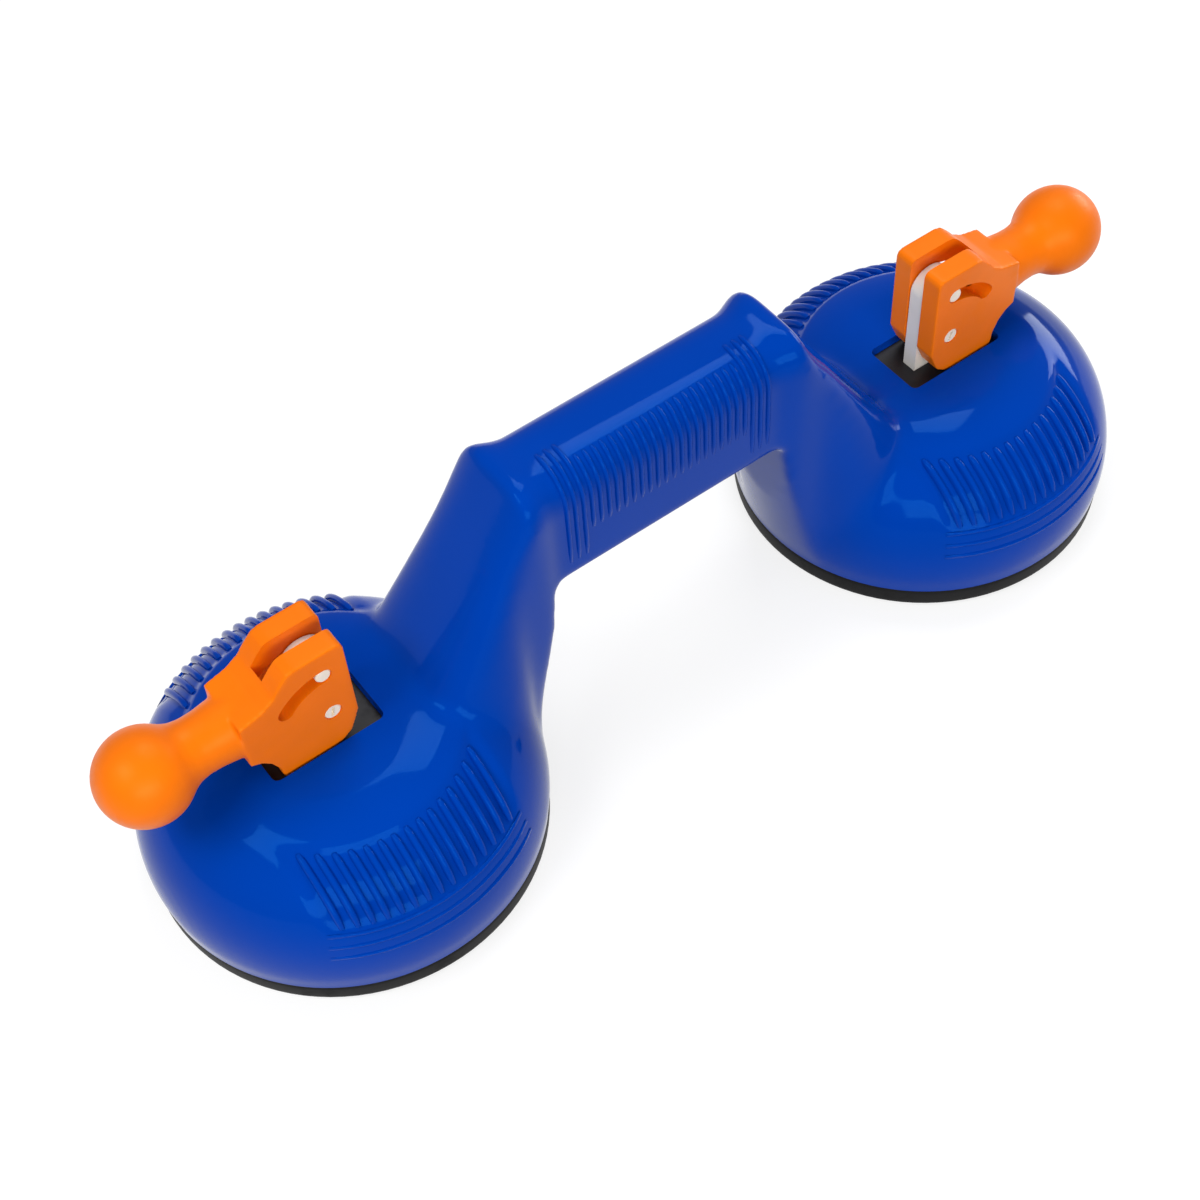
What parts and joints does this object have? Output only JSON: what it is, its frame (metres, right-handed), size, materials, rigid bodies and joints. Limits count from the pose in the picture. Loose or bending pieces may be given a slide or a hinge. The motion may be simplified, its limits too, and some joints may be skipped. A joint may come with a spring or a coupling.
{
  "type": "glass suction cup lifter",
  "caption": "Hand lifter for glass sheets: a ribbed grip bridges two rubber suction cups, each locked by an orange cam lever that folds outwards.",
  "frame": {"origin": "midway between the two cups, on the glass that the sealing rings lie on", "axes": "+X along the grip from the left cup to the right cup, +Z away from the glass, +Y away from the side that the picture shows"},
  "size_m": [0.3496, 0.12, 0.1114],
  "materials": {
    "blue_housing": "glossy moulded plastic",
    "orange_lever": "satin moulded plastic",
    "white_stem": "natural nylon",
    "plated_pin": "bright plated steel",
    "steel": "zinc-plated steel",
    "spring_steel": "drawn spring wire",
    "black_rubber": "smooth black rubber"
  },
  "bodies": {
    "housing": {"body_shell": "blue_housing", "left_rubber_disc": "black_rubber", "left_cam_pad": "steel", "left_return_spring": "spring_steel", "right_rubber_disc": "black_rubber", "right_cam_pad": "steel", "right_return_spring": "spring_steel"},
    "left_stem": {"left_lifting_stem": "white_stem", "left_disc_stud": "steel", "left_backing_plate": "steel", "left_pivot_pin": "plated_pin", "left_pivot_screw": "plated_pin", "left_stop_pin": "plated_pin"},
    "left_lever": {"left_lever": "orange_lever"},
    "right_stem": {"right_lifting_stem": "white_stem", "right_disc_stud": "steel", "right_backing_plate": "steel", "right_pivot_pin": "plated_pin", "right_pivot_screw": "plated_pin", "right_stop_pin": "plated_pin"},
    "right_lever": {"right_lever": "orange_lever"}
  },
  "joints": [
    {"name": "left_stem_slide", "type": "slide", "parent": "housing", "child": "left_stem", "axis": [0, 0, -1], "range_m": [0, 0.00526], "deforming": ["left_rubber_disc", "left_return_spring"]},
    {"name": "left_lever_turn", "type": "hinge", "parent": "left_stem", "child": "left_lever", "pos_m": [-0.11, 0, 0.0665], "axis": [0, 1, 0], "range_deg": [0, 50]},
    {"name": "right_stem_slide", "type": "slide", "parent": "housing", "child": "right_stem", "axis": [0, 0, -1], "range_m": [0, 0.00526], "deforming": ["right_rubber_disc", "right_return_spring"]},
    {"name": "right_lever_turn", "type": "hinge", "parent": "right_stem", "child": "right_lever", "pos_m": [0.11, 0, 0.0665], "axis": [0, -1, 0], "range_deg": [0, 50]}
  ],
  "couplings": [
    {"joint": "left_stem_slide", "follows": "left_lever_turn", "m_per_rad": 0.006},
    {"joint": "right_stem_slide", "follows": "right_lever_turn", "m_per_rad": 0.006}
  ]
}
